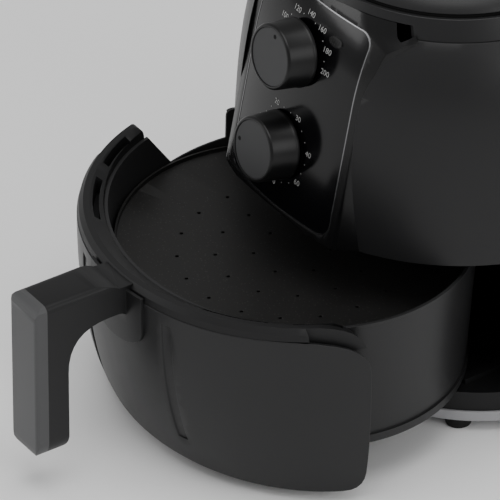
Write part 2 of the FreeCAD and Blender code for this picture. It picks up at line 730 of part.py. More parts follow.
def make_motor_bracket():
    """Bridge over the heater housing that carries the motor."""
    low = MOTOR_Z[0]
    legs = [(-62.0, -54.0), (54.0, 62.0)]
    plate = block(-62.0, 62.0, -20.0, 20.0, low - 2.0, low)
    plate = plate.cut(post(8.5, low - 10.0, low + 10.0))
    legs = [block(x0, x1, -20.0, 20.0, CHAMBER_TOP_Z, low - 2.0) for x0, x1 in legs]
    return join([plate] + legs)


def make_thermostat_bulb():
    """Sensing tube clipped beside the heater housing."""
    return Part.makeCylinder(2.5, 60.0, V(-30.0, -76.0, CHAMBER_TOP_Z + 2.5), RIGHT)


# ---------------------------------------------------------------- controls
def make_control_unit(v, centre, half_width, half_tall, top, depth):
    """Timer or thermostat body with the threaded bushing its shaft turns in."""
    body = Part.makeBox(2 * half_width, 2 * half_tall, depth, V(-half_width, centre - half_tall, top - depth))
    bush = Part.makeCylinder(4.9, -top, V(0, v, top), UP)
    bore = Part.makeCylinder(SHAFT_R + RUN_GAP, 40.0, V(0, v, -PLATE_T - 16.0), UP)
    return on_panel(join([body, bush]).cut(bore))


def make_control_shaft(v):
    return on_panel(Part.makeCylinder(SHAFT_R, 29.0, V(0, v, -PLATE_T - 14.0), UP))


def make_knob(v):
    """Ribbed-look barrel with a recessed face and a blind socket for the shaft."""
    base, top = KNOB_LIFT, KNOB_TALL
    points = [(SHAFT_R, base + 1.0), (SHAFT_R + 3.0, base), (SHAFT_R + 3.0, base + 6.0),
              (KNOB_R - 2.2, base + 6.0), (KNOB_R - 2.2, base), (KNOB_R + 0.6, base),
              (KNOB_R + 0.6, base + 2.0), (KNOB_R, base + 3.0), (KNOB_R - 0.5, top - 1.6),
              (KNOB_R - 1.9, top), (KNOB_R - 3.0, top), (KNOB_R - 3.0, top - 1.4), (0.0, top - 1.4),
              (0.0, 13.0), (SHAFT_R, 13.0)]
    barrel = turned(points)
    barrel.translate(V(0, v, 0))
    return on_panel(barrel)


def make_knob_face(v):
    disc = post(KNOB_R - 3.0, KNOB_TALL - 1.4, KNOB_TALL - 0.5, 0.0, v)
    return on_panel(disc)


def make_bell():
    """Small gong on a stud behind the timer, which strikes it."""
    cup = turned([(0.0, 0.0), (16.0, 0.0), (20.0, 8.0), (19.0, 8.0), (15.3, 1.0), (0.0, 1.0)])
    bell = join([cup, post(2.5, 0.5, BELL_STUD)])
    bell.translate(V(0, TIMER_CENTRE, TIMER_TOP - TIMER_DEPTH - BELL_STUD))
    return on_panel(bell)


# ---------------------------------------------------------------- electrics
def make_safety_switch():
    """Door switch on the back wall of the drawer bay."""
    body = block(-10.0, 10.0, 118.5, 140.0, 100.0, 112.0).common(skin_solid(SHELL_WALL))
    return body.cut(Part.makeCylinder(2.0 + RUN_GAP, 8.5, V(0, 117.0, SWITCH_Z), BACK))


def make_switch_plunger():
    return Part.makeCylinder(2.0, 10.2, V(0, 110.3, SWITCH_Z), BACK)


def make_terminal_block():
    """Mains terminals on top of the heater housing."""
    body = block(-22.0, 22.0, 86.0, 100.0, CHAMBER_TOP_Z, CHAMBER_TOP_Z + 14.0)
    wells = [post(3.0, CHAMBER_TOP_Z + 8.0, CHAMBER_TOP_Z + 20.0, x, 93.0) for x in (-14.0, 0.0, 14.0)]
    return body.cut(wells)


# ---------------------------------------------------------------- assembly
def overall_centre(shapes):
    boxes = [shape.optimalBoundingBox(False, False) for shape in shapes]
    return (min(box.YMin for box in boxes) + max(box.YMax for box in boxes)) / 2


FIXED = {
    "outer_shell": make_outer_shell(),
    "top_cover": make_top_cover(),
    "top_collar": make_top_collar(),
    "top_ring": make_top_ring(),
    "panel_bezel": make_bezel(),
    "panel_plate": make_panel_plate(),
    "panel_trim": make_panel_trim(),
    "indicator_lens": make_lens(),
    "rear_outlet_grille": make_rear_grille(),
    "cord_gland": make_cord_gland(),
    "base_plate": make_base_plate(),
    "base_tray": make_base_tray(),
    "side_brackets": make_side_brackets(),
    "drawer_rails": make_drawer_rails(),
    "rubber_feet": make_feet(),
    "base_screws": make_base_screws(),
    "chamber_divider": make_divider(),
    "heater_housing": make_heater_housing(),
    "heat_reflector": make_reflector(),
    "heating_element": make_heating_element(),
    "element_guard": make_element_guard(),
    "motor_body": make_motor(),
    "motor_windings": make_motor_windings(),
    "motor_bracket": make_motor_bracket(),
    "thermostat_bulb": make_thermostat_bulb(),
    "timer_unit": make_control_unit(KNOB_V[0], TIMER_CENTRE, 24.0, 25.0, TIMER_TOP, TIMER_DEPTH),
    "timer_bell": make_bell(),
    "thermostat_unit": make_control_unit(KNOB_V[1], KNOB_V[1], 18.0, 19.0, -9.0, 22.0),
    "safety_switch": make_safety_switch(),
    "switch_plunger": make_switch_plunger(),
    "terminal_block": make_terminal_block(),
    "hot_air_fan": make_hot_fan(),
    "cooling_fan": make_cooling_fan(),
    "motor_shaft": make_motor_shaft(),
    "timer_knob": make_knob(KNOB_V[0]),
    "timer_knob_face": make_knob_face(KNOB_V[0]),
    "timer_shaft": make_control_shaft(KNOB_V[0]),
    "temperature_knob": make_knob(KNOB_V[1]),
    "temperature_knob_face": make_knob_face(KNOB_V[1]),
    "thermostat_shaft": make_control_shaft(KNOB_V[1]),
}
DRAWER = {
    "pan": make_pan(),
    "drawer_front": make_drawer_front(),
    "drawer_back": make_drawer_back(),
    "drawer_frame": make_drawer_frame(),
    "handle_body": make_handle_body(),
    "handle_cover": make_handle_cover(),
    "handle_screws": make_handle_screws(),
    "crisper_tray": make_crisper_tray(),
    "tray_pads": make_tray_pads(),
}

nodes = dict(FIXED)
for name, shape in DRAWER.items():
    nodes[name] = moved_forward(shape, DRAWER_OUT)

centre_y = overall_centre(nodes.values())
os.makedirs("parts", exist_ok=True)
for name, shape in nodes.items():
    shape.translate(V(0, -centre_y, 0))
    shape.exportStep("parts/" + name + ".step")
    box = shape.optimalBoundingBox(False, False)
    print(f"{name:24s} solids {len(shape.Solids)} valid {shape.isValid()} "
          f"vol {shape.Volume / 1000:8.1f} x {box.XMin:7.1f} {box.XMax:7.1f} "
          f"y {box.YMin:7.1f} {box.YMax:7.1f} z {box.ZMin:6.1f} {box.ZMax:6.1f}")
print("body axis lies at y =", round(-centre_y, 3))
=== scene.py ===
# %% [markdown]
# # A drawer air fryer, drawer part way out
# This lesson dresses a finished engineering model. We give each one edges that catch light, a finish of
# its own, and the small printed and moulded details that a viewer looks for: dial numbers, dots, pointer
# dimples and lens ribs.

# %% Load the frame
import json
import math

import bmesh
import bpy
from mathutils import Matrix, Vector


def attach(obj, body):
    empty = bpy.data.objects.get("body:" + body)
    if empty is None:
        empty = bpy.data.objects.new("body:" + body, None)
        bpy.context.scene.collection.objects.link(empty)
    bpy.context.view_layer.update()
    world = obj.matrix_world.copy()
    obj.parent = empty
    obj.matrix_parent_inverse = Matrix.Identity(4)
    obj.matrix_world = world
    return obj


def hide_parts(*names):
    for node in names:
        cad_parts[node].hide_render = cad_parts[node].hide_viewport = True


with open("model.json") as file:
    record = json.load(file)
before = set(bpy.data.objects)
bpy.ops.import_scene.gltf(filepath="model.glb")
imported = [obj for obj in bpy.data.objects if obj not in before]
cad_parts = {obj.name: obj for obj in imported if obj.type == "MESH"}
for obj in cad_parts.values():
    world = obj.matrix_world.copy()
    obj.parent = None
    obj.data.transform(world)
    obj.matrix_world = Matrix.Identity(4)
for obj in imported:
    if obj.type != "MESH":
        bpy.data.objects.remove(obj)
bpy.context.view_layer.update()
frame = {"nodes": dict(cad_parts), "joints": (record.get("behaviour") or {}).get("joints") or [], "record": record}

nodes = frame["nodes"]
joints = {joint["name"]: joint for joint in frame["joints"]}
slot_of = {part["node"]: part["material_slot"] for part in frame["record"]["subparts"]}
body_of = {node: body for body, members in frame["record"]["behaviour"]["bodies"].items() for node in members}
MM = 0.001

# %% [markdown]
# ## Shared effects
# Moulded plastic is never quite even. Its surface has a fine grain from the tool it was pressed in, and
# faint clouds where hands and cloths have been. Both effects are needed in nearly every finish, so each is a
# node group, built once. A group gives out only masks and heights; the shader stays in the material.


# %% A helper that starts a node group
def new_group(name, inputs, outputs):
    """Node group with named number inputs and outputs, and its two end nodes."""
    tree = bpy.data.node_groups.new(name, "ShaderNodeTree")
    for label, value in inputs:
        socket = tree.interface.new_socket(label, in_out="INPUT", socket_type="NodeSocketFloat")
        socket.default_value = value
    for label in outputs:
        tree.interface.new_socket(label, in_out="OUTPUT", socket_type="NodeSocketFloat")
    return tree, tree.nodes.new("NodeGroupInput"), tree.nodes.new("NodeGroupOutput")


def math_node(tree, operation, first, second):
    """Math node fed by sockets or plain numbers; returns its output."""
    node = tree.nodes.new("ShaderNodeMath")
    node.operation = operation
    for socket, value in zip(node.inputs, (first, second)):
        if isinstance(value, (int, float)):
            socket.default_value = value
        else:
            tree.links.new(value, socket)
    return node.outputs[0]


# %% Grain, clouds, brushing and specks
def build_grain():
    tree, start, end = new_group("moulded_grain", [("Scale", 900.0), ("Clouds", 22.0)], ["Height", "Cloud"])
    place = tree.nodes.new("ShaderNodeTexCoord")
    fine = tree.nodes.new("ShaderNodeTexNoise")
    fine.inputs["Detail"].default_value = 3.0
    broad = tree.nodes.new("ShaderNodeTexNoise")
    broad.inputs["Detail"].default_value = 4.0
    for texture, label in ((fine, "Scale"), (broad, "Clouds")):
        tree.links.new(place.outputs["Object"], texture.inputs["Vector"])
        tree.links.new(start.outputs[label], texture.inputs["Scale"])
    tree.links.new(fine.outputs["Fac"], end.inputs["Height"])
    tree.links.new(broad.outputs["Fac"], end.inputs["Cloud"])
    return tree


def build_brushing():
    """Fine lines along X, as from a sanding belt."""
    tree, start, end = new_group("brushed_lines", [("Scale", 60.0)], ["Height"])
    place = tree.nodes.new("ShaderNodeTexCoord")
    stretch = tree.nodes.new("ShaderNodeMapping")
    stretch.inputs["Scale"].default_value = (0.4, 40.0, 40.0)
    lines = tree.nodes.new("ShaderNodeTexNoise")
    lines.inputs["Detail"].default_value = 5.0
    tree.links.new(place.outputs["Object"], stretch.inputs["Vector"])
    tree.links.new(stretch.outputs["Vector"], lines.inputs["Vector"])
    tree.links.new(start.outputs["Scale"], lines.inputs["Scale"])
    tree.links.new(lines.outputs["Fac"], end.inputs["Height"])
    return tree


def build_specks():
    """Small hard-edged specks, as in a sprayed non-stick coat."""
    tree, start, end = new_group("coat_specks", [("Scale", 420.0), ("Size", 0.16)], ["Specks"])
    place = tree.nodes.new("ShaderNodeTexCoord")
    cells = tree.nodes.new("ShaderNodeTexVoronoi")
    tree.links.new(place.outputs["Object"], cells.inputs["Vector"])
    tree.links.new(start.outputs["Scale"], cells.inputs["Scale"])
    near = math_node(tree, "LESS_THAN", cells.outputs["Distance"], start.outputs["Size"])
    tree.links.new(near, end.inputs["Specks"])
    return tree


GROUPS = {"grain": build_grain(), "brushed": build_brushing(), "specks": build_specks()}
print("shared effects", sorted(GROUPS))

# %% [markdown]
# ## Finishes
# Each row of the table is one real finish: its darker and lighter tone, how rough it is at its smoothest and
# dullest, how metallic, how strong the grain stands and how fine it is, and how much clear coat lies over it.


# %% The table of finishes
#           name             dark tone              light tone             rough        metal bump  grain   coat
FINISHES = {
    "shell_black":      ((0.010, 0.010, 0.0105), (0.013, 0.013, 0.0135), (0.34, 0.42), 0.0, 0.08, 1500.0, 0.0),
    "lid_black":        ((0.012, 0.012, 0.0125), (0.015, 0.015, 0.0155), (0.36, 0.44), 0.0, 0.08, 1500.0, 0.0),
    "seal_black":       ((0.001, 0.001, 0.001), (0.002, 0.002, 0.002), (0.75, 0.90), 0.0, 0.20, 900.0, 0.0),
    "bezel_black":      ((0.003, 0.003, 0.0032), (0.005, 0.005, 0.0052), (0.20, 0.28), 0.0, 0.05, 1500.0, 0.0),
    "panel_gloss":      ((0.0015, 0.0015, 0.002), (0.0025, 0.0025, 0.003), (0.10, 0.17), 0.0, 0.012, 700.0, 0.0),
    "trim_bright":      ((0.16, 0.16, 0.165), (0.22, 0.22, 0.225), (0.18, 0.30), 1.0, 0.05, 900.0, 0.0),
    "lens_clear":       ((0.008, 0.008, 0.008), (0.014, 0.014, 0.014), (0.12, 0.22), 0.0, 0.05, 900.0, 0.3),
    "frame_black":      ((0.006, 0.006, 0.0063), (0.009, 0.009, 0.0095), (0.44, 0.56), 0.0, 0.20, 1100.0, 0.0),
    "base_grey":        ((0.30, 0.30, 0.31), (0.36, 0.36, 0.37), (0.45, 0.58), 0.0, 0.15, 1100.0, 0.0),
    "foot_rubber":      ((0.008, 0.008, 0.008), (0.014, 0.014, 0.014), (0.72, 0.90), 0.0, 0.40, 700.0, 0.0),
    "unit_plastic":     ((0.50, 0.47, 0.41), (0.58, 0.55, 0.49), (0.40, 0.55), 0.0, 0.15, 900.0, 0.0),
    "plunger_red":      ((0.38, 0.03, 0.025), (0.46, 0.05, 0.04), (0.35, 0.48), 0.0, 0.10, 900.0, 0.0),
    "knob_black":       ((0.003, 0.003, 0.0032), (0.005, 0.005, 0.0052), (0.30, 0.38), 0.0, 0.06, 1500.0, 0.0),
    "knob_grey":        ((0.022, 0.0225, 0.0235), (0.027, 0.0275, 0.0285), (0.34, 0.42), 0.0, 0.08, 1500.0, 0.0),
    "drawer_black":     ((0.011, 0.011, 0.0115), (0.014, 0.014, 0.0145), (0.34, 0.43), 0.0, 0.08, 1500.0, 0.0),
    "handle_black":     ((0.006, 0.006, 0.0063), (0.009, 0.009, 0.0095), (0.36, 0.46), 0.0, 0.10, 1300.0, 0.0),
    "handle_grey":      ((0.060, 0.0605, 0.062), (0.070, 0.0705, 0.072), (0.38, 0.48), 0.0, 0.08, 1500.0, 0.0),
    "pad_silicone":     ((0.016, 0.016, 0.017), (0.026, 0.026, 0.027), (0.55, 0.70), 0.0, 0.25, 900.0, 0.0),
    "plated_steel":     ((0.42, 0.42, 0.43), (0.56, 0.56, 0.57), (0.25, 0.42), 1.0, 0.12, 60.0, 0.0),
    "bright_aluminium": ((0.68, 0.68, 0.69), (0.80, 0.80, 0.81), (0.20, 0.38), 1.0, 0.10, 60.0, 0.0),
    "element_steel":    ((0.10, 0.075, 0.055), (0.26, 0.22, 0.19), (0.32, 0.52), 1.0, 0.20, 60.0, 0.0),
    "copper_wire":      ((0.36, 0.14, 0.05), (0.52, 0.24, 0.10), (0.25, 0.40), 1.0, 0.30, 60.0, 0.0),
    "shaft_steel":      ((0.48, 0.48, 0.49), (0.60, 0.60, 0.61), (0.16, 0.30), 1.0, 0.08, 60.0, 0.0),
    "nonstick_grey":    ((0.014, 0.014, 0.0145), (0.018, 0.018, 0.0185), (0.36, 0.46), 0.0, 0.15, 1300.0, 0.0),
    "nonstick_black":   ((0.007, 0.007, 0.007), (0.011, 0.0105, 0.010), (0.40, 0.55), 0.0, 0.25, 900.0, 0.0),
    "print_white":      ((0.34, 0.34, 0.335), (0.42, 0.42, 0.415), (0.40, 0.55), 0.0, 0.05, 1500.0, 0.0),
}
BRUSHED = {"plated_steel", "bright_aluminium", "element_steel", "copper_wire", "shaft_steel"}
SPECKLED = {"nonstick_black"}
BUMP_REACH = 0.15 * MM
GRAIN_COARSEST = 700.0
SPECK_LIFT = 3.0


# %% Turn a row of the table into a material
SPECULAR = 0.28


def make_finish(name):
    dark, light, rough, metal, bump, scale, coat = FINISHES[name]
    material = bpy.data.materials.new(name)
    material.use_nodes = True
    tree = material.node_tree
    shader = tree.nodes["Principled BSDF"]
    shader.inputs["Metallic"].default_value = metal
    shader.inputs["Specular IOR Level"].default_value = SPECULAR
    shader.inputs["Coat Weight"].default_value = coat
    grain = tree.nodes.new("ShaderNodeGroup")
    grain.node_tree = GROUPS["grain"]
    grain.inputs["Scale"].default_value = max(scale, GRAIN_COARSEST)
    height = grain.outputs["Height"]
    if name in BRUSHED:
        lines = tree.nodes.new("ShaderNodeGroup")
        lines.node_tree = GROUPS["brushed"]
        lines.inputs["Scale"].default_value = scale
        height = lines.outputs["Height"]
    tone = tree.nodes.new("ShaderNodeMix")
    tone.data_type = "RGBA"
    tone.inputs["A"].default_value = (*dark, 1.0)
    tone.inputs["B"].default_value = (*light, 1.0)
    tree.links.new(grain.outputs["Cloud"], tone.inputs["Factor"])
    colour = tone.outputs["Result"]
    if name in SPECKLED:
        specks = tree.nodes.new("ShaderNodeGroup")
        specks.node_tree = GROUPS["specks"]
        speckle = tree.nodes.new("ShaderNodeMix")
        speckle.data_type = "RGBA"
        speckle.inputs["B"].default_value = (*[tone_part * SPECK_LIFT for tone_part in light], 1.0)
        tree.links.new(colour, speckle.inputs["A"])
        tree.links.new(specks.outputs["Specks"], speckle.inputs["Factor"])
        colour = speckle.outputs["Result"]
    tree.links.new(colour, shader.inputs["Base Color"])
    spread = tree.nodes.new("ShaderNodeMapRange")
    spread.inputs["To Min"].default_value = rough[0]
    spread.inputs["To Max"].default_value = rough[1]
    tree.links.new(height if name in BRUSHED else grain.outputs["Cloud"], spread.inputs["Value"])
    tree.links.new(spread.outputs["Result"], shader.inputs["Roughness"])
    relief = tree.nodes.new("ShaderNodeBump")
    relief.inputs["Strength"].default_value = bump
    relief.inputs["Distance"].default_value = BUMP_REACH
    tree.links.new(height, relief.inputs["Height"])
    tree.links.new(relief.outputs["Normal"], shader.inputs["Normal"])
    return material


finish = {name: make_finish(name) for name in FINISHES}
print("finishes", len(finish))

# %% [markdown]
# ## Every part gets its finish
# The record says which finish each part has. The engineering meshes are left exactly as they are; only
# their material slots are filled.

# %% Fill the slots
for name, part in nodes.items():
    part.data.materials.clear()
    part.data.materials.append(finish[slot_of[name]])
print("dressed", len(nodes), "parts")

# %% [markdown]
# ## Soft edges on the parts that show
# No moulded edge is razor sharp: the tool rounds it by a few tenths of a millimetre, and that tiny round is
# what draws the bright line along an edge. We weld a copy of each showing part, mark its true creases by angle,
# round them with a bevel, and let the copy stand for the part.


# %% Copy, weld and round
def soft_edged(node, width, crease=32.0):
    """Welded copy of a CAD part with narrow rounded edges, standing for it."""
    mesh = nodes[node].data.copy()
    piece = bpy.data.objects.new(node + "_moulded", mesh)
    bpy.context.scene.collection.objects.link(piece)
    form = bmesh.new()
    form.from_mesh(mesh)
    bmesh.ops.remove_doubles(form, verts=form.verts, dist=2e-6)
    bmesh.ops.dissolve_degenerate(form, edges=form.edges, dist=1e-6)
    bmesh.ops.dissolve_limit(form, angle_limit=math.radians(0.3), verts=form.verts, edges=form.edges)
    for face in form.faces:
        face.smooth = True
    form.to_mesh(mesh)
    form.free()
    mesh.set_sharp_from_angle(angle=math.radians(crease))
    bevel = piece.modifiers.new("rounding", "BEVEL")
    bevel.width = width
    bevel.segments = 2
    bevel.limit_method = "ANGLE"
    bevel.angle_limit = math.radians(crease)
    bevel.use_clamp_overlap = True
    depsgraph = bpy.context.evaluated_depsgraph_get()
    rounded = bpy.data.meshes.new_from_object(piece.evaluated_get(depsgraph))
    piece.modifiers.clear()
    piece.data = rounded
    rounded.materials.clear()
    rounded.materials.append(finish[slot_of[node]])
    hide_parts(node)
    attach(piece, body_of[node])
    return piece


SOFT_EDGES = {
    "outer_shell": 0.5, "top_cover": 0.6, "top_collar": 0.4, "panel_bezel": 0.8, "panel_plate": 0.15,
    "drawer_front": 0.7, "drawer_frame": 0.5, "pan": 0.3, "handle_body": 0.9, "handle_cover": 0.6,
    "timer_knob_face": 0.2, "temperature_knob_face": 0.2,
    "crisper_tray": 0.25, "base_plate": 0.4, "rubber_feet": 0.6, "rear_outlet_grille": 0.35,
    "cord_gland": 0.3,
}
for node, width in SOFT_EDGES.items():
    piece = soft_edged(node, width * MM)
    print(node, "triangles", sum(len(face.vertices) - 2 for face in piece.data.polygons))

# %% [markdown]
# ## The control panel's printing
# The panel is bent round an upright axis and rolls back at its top. Marks printed on it follow that bend, so
# each point of a number or dot is worked out from its place across and up the panel.


# %% Where a mark lies on the bent panel
low_dial = joints["timer_turn"]
high_dial = joints["temperature_turn"]
panel_zero = Vector(low_dial["pos_m"])
outwards = Vector(low_dial["axis"])
up_panel = (Vector(high_dial["pos_m"]) - panel_zero).normalized()
dial_rise = (Vector(high_dial["pos_m"]) - panel_zero).length
BEND_R = 0.220
ROLL_START = 0.052
ROLL_R = 0.190


def on_panel(across, up, lift):
    """Point on the panel's surface, lifted off it."""
    radius = BEND_R
    if up > ROLL_START:
        radius -= ROLL_R - math.sqrt(ROLL_R ** 2 - (up - ROLL_START) ** 2)
    depth = math.sqrt(radius ** 2 - across ** 2) - BEND_R
    return panel_zero + Vector((across, 0, 0)) + up_panel * up + outwards * (depth + lift)


print("dial spacing", round(dial_rise, 4))

# %% Numbers round the two dials
PRINT_LIFT = 0.02 * MM
NUMBER_TALL = 5.2 * MM


def number_mesh(text, tall):
    """Flat mesh of a number, centred on its own middle."""
    curve = bpy.data.curves.new("number_" + text, "FONT")
    curve.body = text
    curve.size = tall
    curve.align_x = "CENTER"
    curve.align_y = "CENTER"
    curve.resolution_u = 3
    holder = bpy.data.objects.new("number_" + text, curve)
    bpy.context.scene.collection.objects.link(holder)
    mesh = bpy.data.meshes.new_from_object(holder.evaluated_get(bpy.context.evaluated_depsgraph_get()))
    bpy.data.objects.remove(holder)
    return mesh


def print_numbers(name, rise, marks):
    """One piece with all the numbers of a dial, bent onto the panel."""
    form = bmesh.new()
    for text, turn, radius in marks:
        mesh = number_mesh(text, NUMBER_TALL)
        angle = math.radians(turn)
        centre = (radius * math.sin(angle), rise + radius * math.cos(angle))
        for vertex in mesh.vertices:
            vertex.co = on_panel(centre[0] + vertex.co.x, centre[1] + vertex.co.y, PRINT_LIFT)
        form.from_mesh(mesh)
        bpy.data.meshes.remove(mesh)
    mesh = bpy.data.meshes.new(name)
    form.to_mesh(mesh)
    form.free()
    piece = bpy.data.objects.new(name, mesh)
    bpy.context.scene.collection.objects.link(piece)
    mesh.materials.append(finish["print_white"])
    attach(piece, "housing")
    print(name, "faces", len(mesh.polygons))


# Each dial's joint stops with its pointer at the first or last of these marks, to within half a degree.
NUMBER_RING = 26.5 * MM
HEAT_START, HEAT_STEP = -90.0, 30.5
HEAT_TEXTS = ("80", "100", "120", "140", "160", "180", "200")
TIME_START, TIME_STEP = 180.0, 360.0 / 7
TIME_TEXTS = ("0", "5", "10", "20", "30", "40", "60")


def even_marks(texts, start, step):
    """Numbers at even clockwise steps round a dial."""
    return [(text, start + step * place, NUMBER_RING) for place, text in enumerate(texts)]


print_numbers("temperature_numbers", dial_rise, even_marks(HEAT_TEXTS, HEAT_START, HEAT_STEP))
print_numbers("timer_numbers", 0.0, even_marks(TIME_TEXTS, TIME_START, TIME_STEP))

# %% [markdown]
# ## Dots between the numbers
# One small dot stands midway between each pair of temperatures, and two between each pair of times. They
# repeat along an arc, which is work for Geometry Nodes: points on an arc, a disc on each point. The tree is
# flat at first; its result is bent onto the panel.


# %% A Geometry Nodes tree that puts discs on an arc
def arc_dots_tree():
    tree = bpy.data.node_groups.new("dots_on_arc", "GeometryNodeTree")
    wanted = (("Count", "NodeSocketInt", 12), ("Radius", "NodeSocketFloat", 0.0255),
              ("Dot radius", "NodeSocketFloat", 0.0004), ("Start", "NodeSocketFloat", 0.0),
              ("Sweep", "NodeSocketFloat", 3.0), ("Material", "NodeSocketMaterial", None))
    for label, kind, value in wanted:
        socket = tree.interface.new_socket(label, in_out="INPUT", socket_type=kind)
        if value is not None:
            socket.default_value = value
    tree.interface.new_socket("Geometry", in_out="OUTPUT", socket_type="NodeSocketGeometry")
    start, end = tree.nodes.new("NodeGroupInput"), tree.nodes.new("NodeGroupOutput")
    arc = tree.nodes.new("GeometryNodeCurveArc")
    disc = tree.nodes.new("GeometryNodeMeshCircle")
    disc.fill_type = "NGON"
    disc.inputs["Vertices"].default_value = 12
    to_points = tree.nodes.new("GeometryNodeCurveToPoints")
    spread = tree.nodes.new("GeometryNodeInstanceOnPoints")
    real = tree.nodes.new("GeometryNodeRealizeInstances")
    paint = tree.nodes.new("GeometryNodeSetMaterial")
    links = tree.links
    for label, socket in (("Count", arc.inputs["Resolution"]), ("Radius", arc.inputs["Radius"]),
                          ("Start", arc.inputs["Start Angle"]), ("Sweep", arc.inputs["Sweep Angle"]),
                          ("Count", to_points.inputs["Count"]), ("Dot radius", disc.inputs["Radius"]),
                          ("Material", paint.inputs["Material"])):
        links.new(start.outputs[label], socket)
    links.new(arc.outputs["Curve"], to_points.inputs["Curve"])
    links.new(to_points.outputs["Points"], spread.inputs["Points"])
    links.new(disc.outputs["Mesh"], spread.inputs["Instance"])
    links.new(spread.outputs["Instances"], real.inputs["Geometry"])
    links.new(real.outputs["Geometry"], paint.inputs["Geometry"])
    links.new(paint.outputs["Geometry"], end.inputs["Geometry"])
    return tree


def grown(name, tree, values):
    """Object made by a Geometry Nodes tree, turned into a plain mesh."""
    piece = bpy.data.objects.new(name, bpy.data.meshes.new(name))
    bpy.context.scene.collection.objects.link(piece)
    modifier = piece.modifiers.new("grow", "NODES")
    modifier.node_group = tree
    for item in tree.interface.items_tree:
        if item.in_out == "INPUT" and item.name in values:
            modifier[item.identifier] = values[item.name]
    depsgraph = bpy.context.evaluated_depsgraph_get()
    mesh = bpy.data.meshes.new_from_object(piece.evaluated_get(depsgraph))
    piece.modifiers.clear()
    piece.data = mesh
    return piece


dots_tree = arc_dots_tree()
DOT_R = 0.4 * MM
HEAT_DOT_RING = 24.0 * MM
TIME_DOT_RING = 24.5 * MM


def print_dots(name, rise, ring, first, step, count):
    """Dots at even clockwise steps round a dial."""
    sweep = step * (count - 1)
    values = {"Count": count, "Radius": ring, "Dot radius": DOT_R,
              "Start": math.radians(90 - first - sweep), "Sweep": math.radians(sweep),
              "Material": finish["print_white"]}
    piece = grown(name, dots_tree, values)
    for vertex in piece.data.vertices:
        vertex.co = on_panel(vertex.co.x, rise + vertex.co.y, PRINT_LIFT)
    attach(piece, "housing")
    print(name, "faces", len(piece.data.polygons))


first = HEAT_START + HEAT_STEP / 2
print_dots("temperature_dots", dial_rise, HEAT_DOT_RING, first, HEAT_STEP, len(HEAT_TEXTS) - 1)
for place in (1, 2):
    first = TIME_START + TIME_STEP * place / 3
    print_dots("timer_dots_%d" % place, 0.0, TIME_DOT_RING, first, TIME_STEP, len(TIME_TEXTS))

# %% [markdown]
# ## Smooth turned knobs
# A knob's barrel is round, so it catches one long, even highlight. The engineering mesh is made of long thin
# facets. Turning the same section afresh in many small steps, with its outer edges slightly rounded, gives a
# smooth barrel of the same height and widest radius.

# %% Turn each knob from its section
KNOB_BASE = 1.2 * MM
KNOB_STEPS = 128
KNOB_SECTION = ((0.0, 13.0), (3.0, 13.0), (3.0, 2.2), (6.0, 1.2), (6.0, 7.2), (19.3, 7.2), (19.3, 1.2),
                (21.8, 1.2), (22.1, 1.5), (22.1, 3.0), (21.9, 3.5), (21.5, 4.2), (21.0, 20.4), (20.8, 20.9),
                (20.3, 21.5), (19.9, 21.85), (19.5, 22.0), (18.7, 22.0), (18.5, 21.8), (18.5, 20.6), (0.0, 20.6))


def turned_knob(name, dial, node):
    """Knob turned about its dial's axis, standing for the engineering solid."""
    centre = Vector(dial["pos_m"])
    heights = [(vertex.co - centre).dot(outwards) for vertex in nodes[node].data.vertices]
    foot = centre + outwards * (min(heights) - KNOB_BASE)
    form = bmesh.new()
    rings = []
    for radius, height in KNOB_SECTION:
        middle = foot + outwards * height * MM
        if radius == 0.0:
            rings.append([form.verts.new(middle)])
            continue
        ways = [2 * math.pi * step / KNOB_STEPS for step in range(KNOB_STEPS)]
        spokes = [Vector((math.cos(way), 0, 0)) + up_panel * math.sin(way) for way in ways]
        rings.append([form.verts.new(middle + spoke * radius * MM) for spoke in spokes])
    for low, high in zip(rings, rings[1:]):
        for step in range(KNOB_STEPS):
            after = (step + 1) % KNOB_STEPS
            if len(low) == 1:
                form.faces.new((low[0], high[step], high[after]))
            elif len(high) == 1:
                form.faces.new((low[step], high[0], low[after]))
            else:
                form.faces.new((low[step], high[step], high[after], low[after]))
    bmesh.ops.recalc_face_normals(form, faces=form.faces)
    for face in form.faces:
        face.smooth = True
    mesh = bpy.data.meshes.new(name)
    form.to_mesh(mesh)
    form.free()
    mesh.set_sharp_from_angle(angle=math.radians(40))
    piece = bpy.data.objects.new(name, mesh)
    bpy.context.scene.collection.objects.link(piece)
    mesh.materials.append(finish["knob_black"])
    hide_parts(node)
    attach(piece, body_of[node])
    print(name, "CAD height", round(min(heights) / MM, 2), "to", round(max(heights) / MM, 2), "mm")


turned_knob("timer_knob_turned", low_dial, "timer_knob")
turned_knob("temperature_knob_turned", high_dial, "temperature_knob")

# %% [markdown]
# ## Pointer dimples
# A dial has to say where it points. Here each knob's face has a small dimple near its rim, which turns with the
# knob, so it rides on the dial's body. Its near-black colour is painted shade, standing for the shade inside the
# hollow.


# %% A dimple on each knob face, its dark colour painted shade
DIMPLE_R = 1.25 * MM
DIMPLE_RADIUS = 14.6 * MM
DIMPLE_STEPS = 24
HEAT_POINTER = 5.0
TIME_POINTER = 271.0


